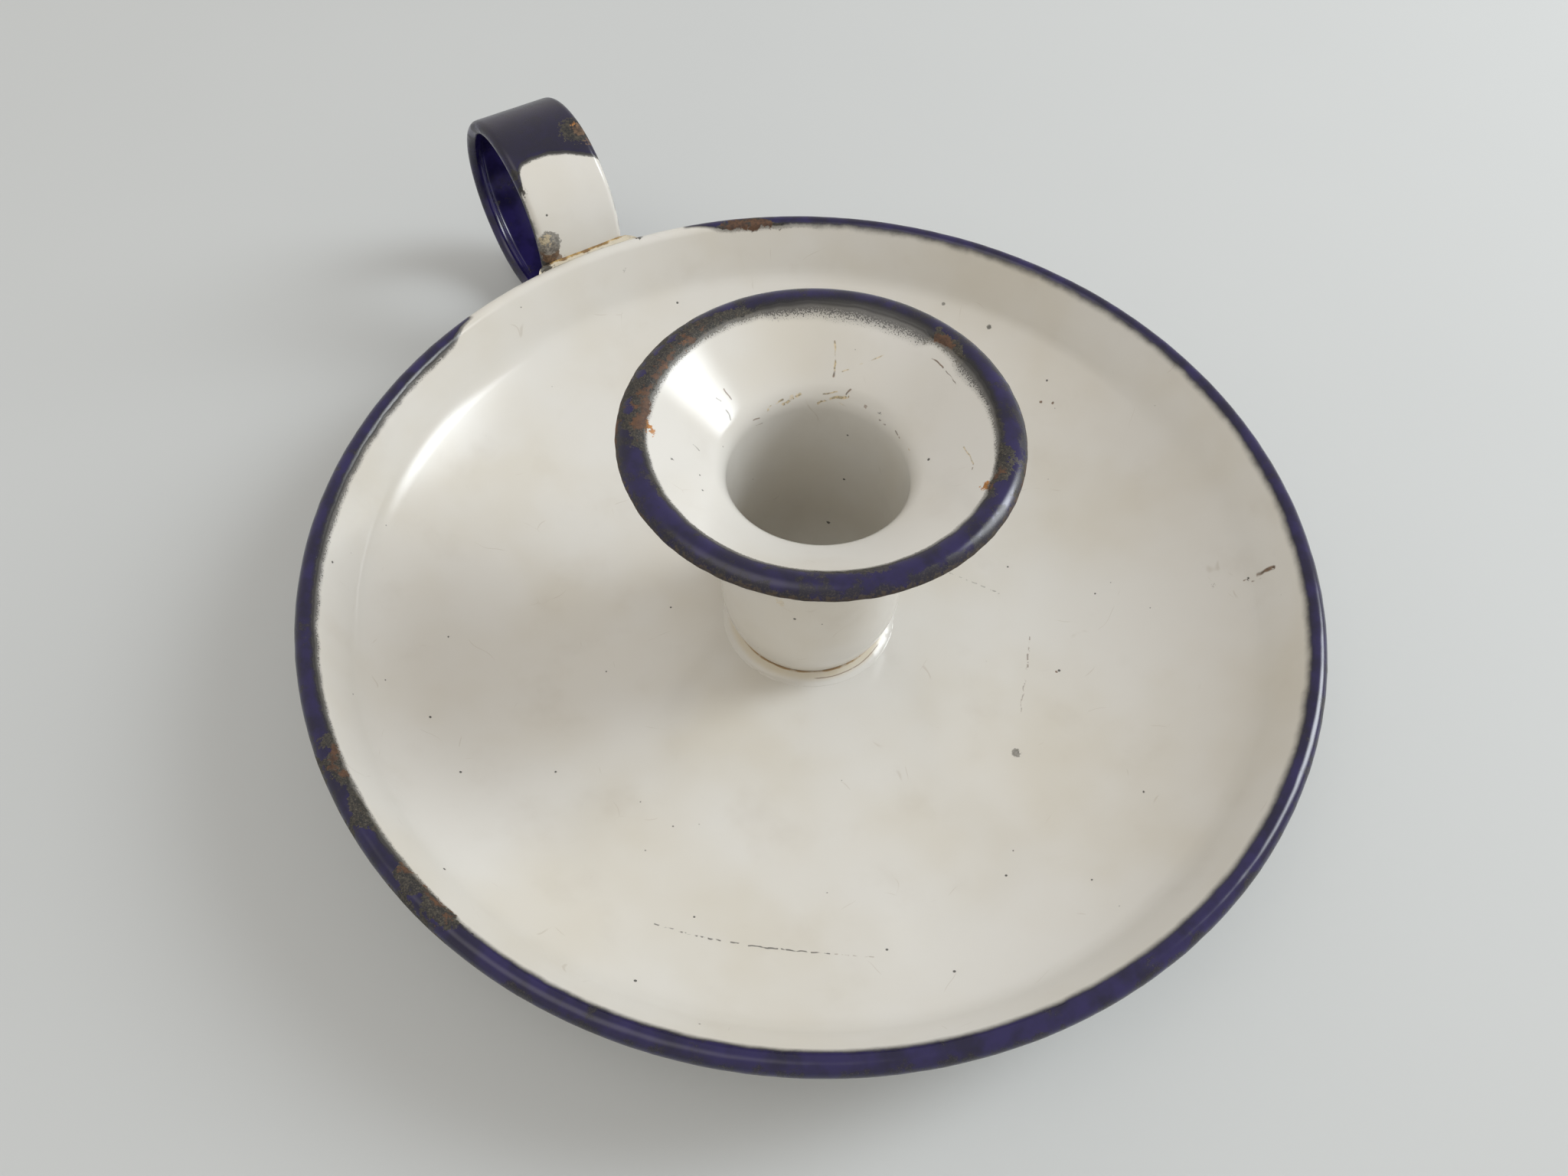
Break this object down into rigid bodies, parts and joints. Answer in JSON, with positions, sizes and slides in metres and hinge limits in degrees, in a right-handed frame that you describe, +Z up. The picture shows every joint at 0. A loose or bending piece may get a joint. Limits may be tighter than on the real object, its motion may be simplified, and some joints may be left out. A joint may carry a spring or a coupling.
{
  "type": "chamberstick",
  "caption": "Low enamelled candle holder: a shallow round dish with a central flared candle socket and a round finger loop at the rim.",
  "frame": {"origin": "middle of the dish's flat underside, where it rests on the table, under the candle's axis", "axes": "+Z up along the candle, +X from the candle towards the finger loop"},
  "size_m": [0.1758, 0.144, 0.0447],
  "materials": {
    "enamelled_steel": "gloss",
    "braze": "satin"
  },
  "bodies": {
    "root": {"dish": "enamelled_steel", "candle_socket": "enamelled_steel", "finger_loop": "enamelled_steel", "socket_braze": "braze", "loop_braze": "braze"}
  },
  "joints": []
}
